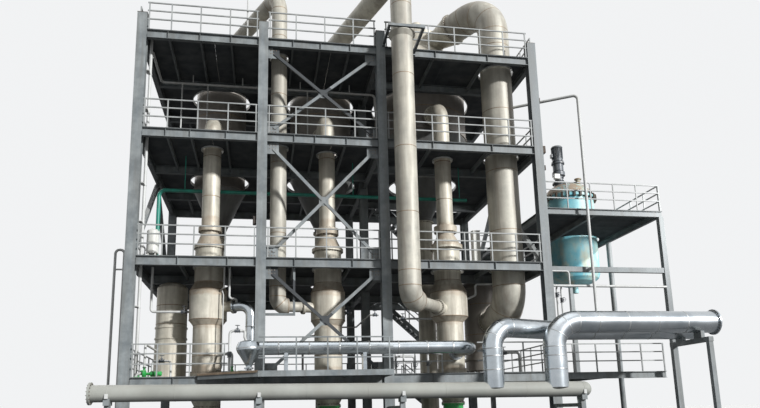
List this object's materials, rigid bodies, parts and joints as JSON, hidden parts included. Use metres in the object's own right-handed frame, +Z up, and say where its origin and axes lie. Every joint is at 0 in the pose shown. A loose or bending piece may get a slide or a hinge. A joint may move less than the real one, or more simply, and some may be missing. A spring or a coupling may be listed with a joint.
{
  "type": "multiple effect evaporator",
  "caption": "Multiple effect evaporator in an open steel frame: heaters, separators, vapour ducts, a condenser and a side bay with an agitated crystalliser tank.",
  "frame": {"origin": "middle of the underside of the base plate of the front left column", "axes": "+X along the front to the right, +Y back into the plant, +Z up"},
  "size_m": [21.145, 12.855, 19.8],
  "materials": {
    "frame_steel": "weathered grey paint",
    "floor_plate": "dark paint, dusty",
    "railing_steel": "grey paint",
    "stainless": "matt, heat tinted along the welds",
    "cladding": "bright sheet cladding",
    "header_paint": "matt grey paint",
    "pump_green": "semi gloss paint",
    "tank_paint": "faded paint with bare patches",
    "drive_paint": "dark semi gloss paint",
    "service_paint": "faded green paint",
    "galvanised": "dull zinc",
    "tank_white": "white paint"
  },
  "bodies": {
    "root": {"front_columns": "frame_steel", "rear_columns": "frame_steel", "floor_1_beams": "frame_steel", "floor_2_beams": "frame_steel", "floor_3_beams": "frame_steel", "floor_4_beams": "frame_steel", "floor_1_plates": "floor_plate", "floor_2_plates": "floor_plate", "floor_3_plates": "floor_plate", "floor_4_plates": "floor_plate", "floor_railings": "railing_steel", "bracing": "frame_steel", "front_walkway": "frame_steel", "heater_shell_1": "stainless", "heater_shell_2": "stainless", "heater_shell_3": "stainless", "heater_bottoms": "stainless", "riser_pipes": "stainless", "separator_shell_1": "stainless", "separator_shell_2": "stainless", "separator_shell_3": "stainless", "separator_cones": "stainless", "separator_heads": "stainless", "vapour_duct_1": "stainless", "vapour_duct_2": "stainless", "vapour_duct_3": "stainless", "downcomers": "stainless", "circulation_pumps": "pump_green", "condenser": "stainless", "flash_tank": "stainless", "steam_main": "cladding", "supply_header": "header_paint", "pipe_stands": "frame_steel", "supply_ducts": "cladding", "crystalliser_frame": "frame_steel", "crystalliser_floors": "floor_plate", "crystalliser_railing": "railing_steel", "crystalliser_shell": "tank_paint", "crystalliser_ends": "tank_paint", "agitator_drive": "drive_paint", "service_pipes": "galvanised", "cooling_pipe": "service_paint", "dosing_drum": "tank_white", "stairs": "frame_steel"}
  },
  "joints": []
}
